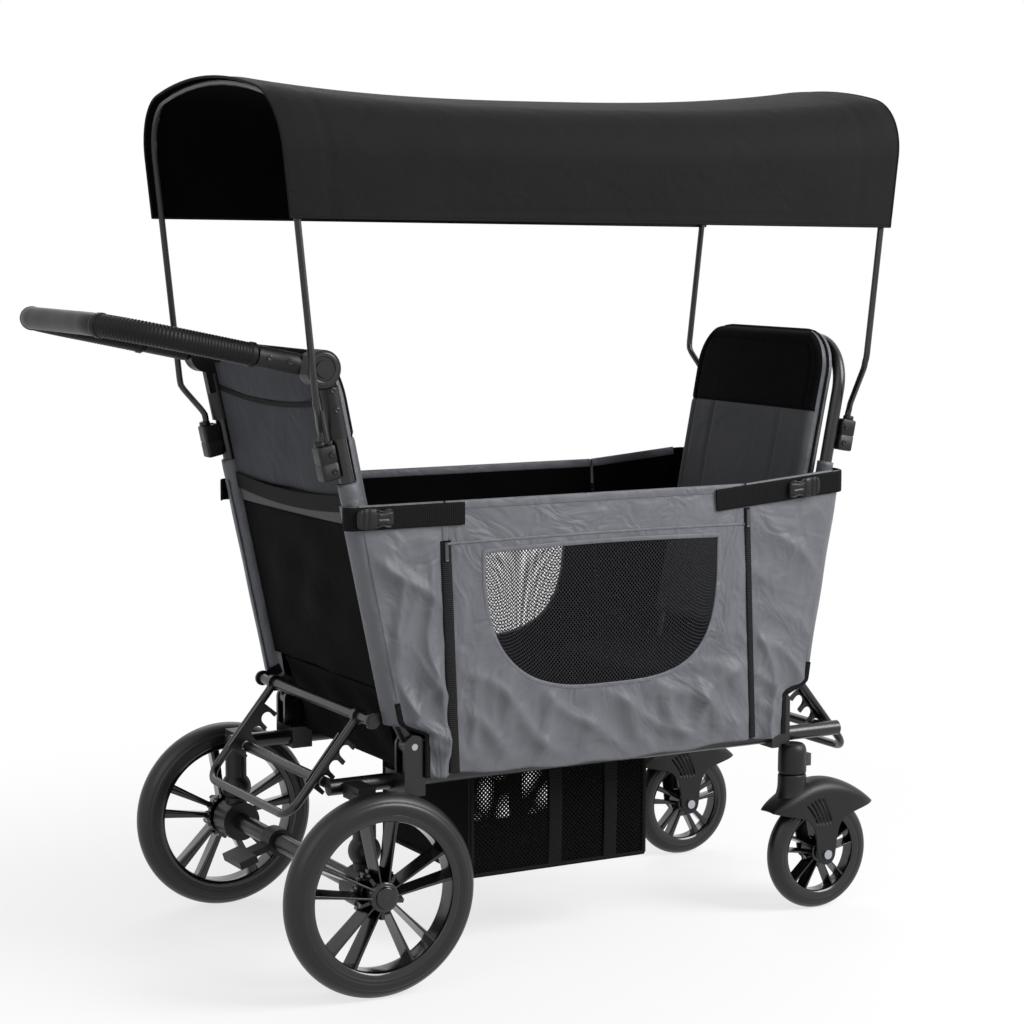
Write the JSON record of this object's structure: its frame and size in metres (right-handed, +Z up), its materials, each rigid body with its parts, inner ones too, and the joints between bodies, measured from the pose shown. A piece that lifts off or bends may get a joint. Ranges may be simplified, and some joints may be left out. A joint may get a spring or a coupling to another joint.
{
  "type": "stroller wagon",
  "caption": "Stroller wagon for two children with folding frame, tilting push bar, fixed sun canopy, zip-open mesh side doors, mesh footwell, large rear wheels and swivelling front casters",
  "frame": {"origin": "On the ground under the middle of the wagon, midway between its two sides", "axes": "+X forward toward the casters, +Y to the left side, +Z up"},
  "size_m": [1.3156, 0.62, 1.3252],
  "materials": {
    "tube_black": "satin",
    "plastic_black": "matte",
    "plastic_gloss": "gloss",
    "plastic_grey": "matte",
    "tyre_rubber": "satin",
    "steel": "polished",
    "fabric_grey": "woven polyester",
    "fabric_dark": "woven polyester",
    "fabric_black": "woven polyester",
    "mesh_black": "knitted mesh",
    "grip_rubber": "ribbed"
  },
  "bodies": {
    "chassis": {"left_rail": "tube_black", "right_rail": "tube_black", "rear_crossbar": "tube_black", "front_crossbar": "tube_black", "rear_brackets": "tube_black", "front_brackets": "tube_black", "pivot_bolts": "steel", "rear_legs": "plastic_black", "axle_beam": "tube_black", "stub_axles": "steel", "caster_sockets": "plastic_black", "floor_board": "plastic_black", "footwell_basket": "mesh_black", "rear_seat": "fabric_black", "front_seat": "fabric_black", "left_corner_panels": "fabric_grey", "right_corner_panels": "fabric_grey", "corner_straps": "fabric_black", "strap_buckles": "plastic_grey"},
    "left_door_body": {"left_door": "fabric_grey"},
    "right_door_body": {"right_door": "fabric_grey"},
    "rear_frame": {"left_rear_post": "tube_black", "right_rear_post": "tube_black", "rear_cross_tube": "tube_black", "push_bar_housings": "plastic_black", "push_bar_pins": "steel", "rear_backrest": "fabric_dark", "rear_panel": "fabric_black"},
    "front_frame": {"front_hoop": "tube_black", "front_cross_tube": "tube_black", "front_backrest": "fabric_dark"},
    "push_bar_body": {"push_bar": "tube_black", "push_bar_hubs": "plastic_grey", "push_bar_grips": "grip_rubber"},
    "left_button_body": {"left_button": "plastic_black"},
    "right_button_body": {"right_button": "plastic_black"},
    "rear_prop_body": {"rear_prop": "tube_black", "rear_prop_plates": "tube_black"},
    "front_prop_body": {"front_prop": "tube_black", "front_prop_plates": "tube_black"},
    "canopy": {"rear_bow": "tube_black", "front_bow": "tube_black", "bow_clips": "plastic_black", "canopy_cover": "fabric_black"},
    "left_rear_wheel": {"left_rear_tyre": "tyre_rubber", "left_rear_rim": "plastic_gloss"},
    "right_rear_wheel": {"right_rear_tyre": "tyre_rubber", "right_rear_rim": "plastic_gloss"},
    "left_caster_body": {"left_caster": "plastic_black", "left_caster_bolt": "steel"},
    "right_caster_body": {"right_caster": "plastic_black", "right_caster_bolt": "steel"},
    "left_front_wheel": {"left_front_tyre": "tyre_rubber", "left_front_rim": "plastic_gloss"},
    "right_front_wheel": {"right_front_tyre": "tyre_rubber", "right_front_rim": "plastic_gloss"},
    "left_lock_body": {"left_swivel_lock": "plastic_grey"},
    "right_lock_body": {"right_swivel_lock": "plastic_grey"},
    "brake": {"brake_pedal": "plastic_black"}
  },
  "joints": [
    {"name": "fold", "type": "hinge", "parent": "chassis", "child": "rear_frame", "pos_m": [-0.331, 0, 0.346], "axis": [0, 1, 0], "range_deg": [0, 100], "deforming": ["rear_seat", "front_seat", "left_corner_panels", "right_corner_panels", "corner_straps", "strap_buckles", "left_door", "right_door", "rear_backrest", "rear_panel", "front_backrest"]},
    {"name": "front_fold", "type": "hinge", "parent": "chassis", "child": "front_frame", "pos_m": [0.343, 0, 0.346], "axis": [0, -1, 0], "range_deg": [0, 100]},
    {"name": "rear_prop_swing", "type": "hinge", "parent": "rear_frame", "child": "rear_prop_body", "pos_m": [-0.3852, 0, 0.38457], "axis": [0, 1, 0], "range_deg": [0, 90]},
    {"name": "front_prop_swing", "type": "hinge", "parent": "front_frame", "child": "front_prop_body", "pos_m": [0.39652, 0, 0.38551], "axis": [0, -1, 0], "range_deg": [0, 90]},
    {"name": "canopy_drop", "type": "slide", "parent": "chassis", "child": "canopy", "axis": [0, 0, 1], "range_m": [-0.332, 0]},
    {"name": "push_bar_tilt", "type": "hinge", "parent": "rear_frame", "child": "push_bar_body", "pos_m": [-0.47382, 0, 0.90247], "axis": [0, 1, 0], "range_deg": [-50, 25]},
    {"name": "left_button_press", "type": "slide", "parent": "push_bar_body", "child": "left_button_body", "axis": [0, -1, 0], "range_m": [0, 0.003], "stiffness_N_per_m": 900},
    {"name": "right_button_press", "type": "slide", "parent": "push_bar_body", "child": "right_button_body", "axis": [0, 1, 0], "range_m": [0, 0.003], "stiffness_N_per_m": 900},
    {"name": "left_rear_spin", "type": "hinge", "parent": "chassis", "child": "left_rear_wheel", "pos_m": [-0.417, 0.286, 0.15], "axis": [0, 1, 0], "continuous": true},
    {"name": "left_swivel", "type": "hinge", "parent": "chassis", "child": "left_caster_body", "pos_m": [0.367, 0.2, 0.24], "axis": [0, 0, 1], "continuous": true},
    {"name": "left_front_spin", "type": "hinge", "parent": "left_caster_body", "child": "left_front_wheel", "pos_m": [0.417, 0.2, 0.0935], "axis": [0, 1, 0], "continuous": true},
    {"name": "left_lock_slide", "type": "slide", "parent": "chassis", "child": "left_lock_body", "axis": [0, 0, -1], "range_m": [0, 0.006]},
    {"name": "left_door_swing", "type": "hinge", "parent": "chassis", "child": "left_door_body", "pos_m": [0, 0.232, 0.3], "axis": [-1, 0, 0], "range_deg": [0, 120]},
    {"name": "right_rear_spin", "type": "hinge", "parent": "chassis", "child": "right_rear_wheel", "pos_m": [-0.417, -0.286, 0.15], "axis": [0, 1, 0], "continuous": true},
    {"name": "right_swivel", "type": "hinge", "parent": "chassis", "child": "right_caster_body", "pos_m": [0.367, -0.2, 0.24], "axis": [0, 0, 1], "continuous": true},
    {"name": "right_front_spin", "type": "hinge", "parent": "right_caster_body", "child": "right_front_wheel", "pos_m": [0.417, -0.2, 0.0935], "axis": [0, 1, 0], "continuous": true},
    {"name": "right_lock_slide", "type": "slide", "parent": "chassis", "child": "right_lock_body", "axis": [0, 0, -1], "range_m": [0, 0.006]},
    {"name": "right_door_swing", "type": "hinge", "parent": "chassis", "child": "right_door_body", "pos_m": [0, -0.232, 0.3], "axis": [1, 0, 0], "range_deg": [0, 120]},
    {"name": "brake_press", "type": "hinge", "parent": "chassis", "child": "brake", "pos_m": [-0.417, 0.076, 0.15], "axis": [0, -1, 0], "range_deg": [0, 20]}
  ],
  "couplings": [
    {"joint": "front_fold", "follows": "fold", "ratio": 1},
    {"joint": "rear_prop_swing", "follows": "fold", "ratio": 0.9},
    {"joint": "front_prop_swing", "follows": "fold", "ratio": 0.9},
    {"joint": "canopy_drop", "follows": "fold", "m_per_rad": -0.19}
  ]
}
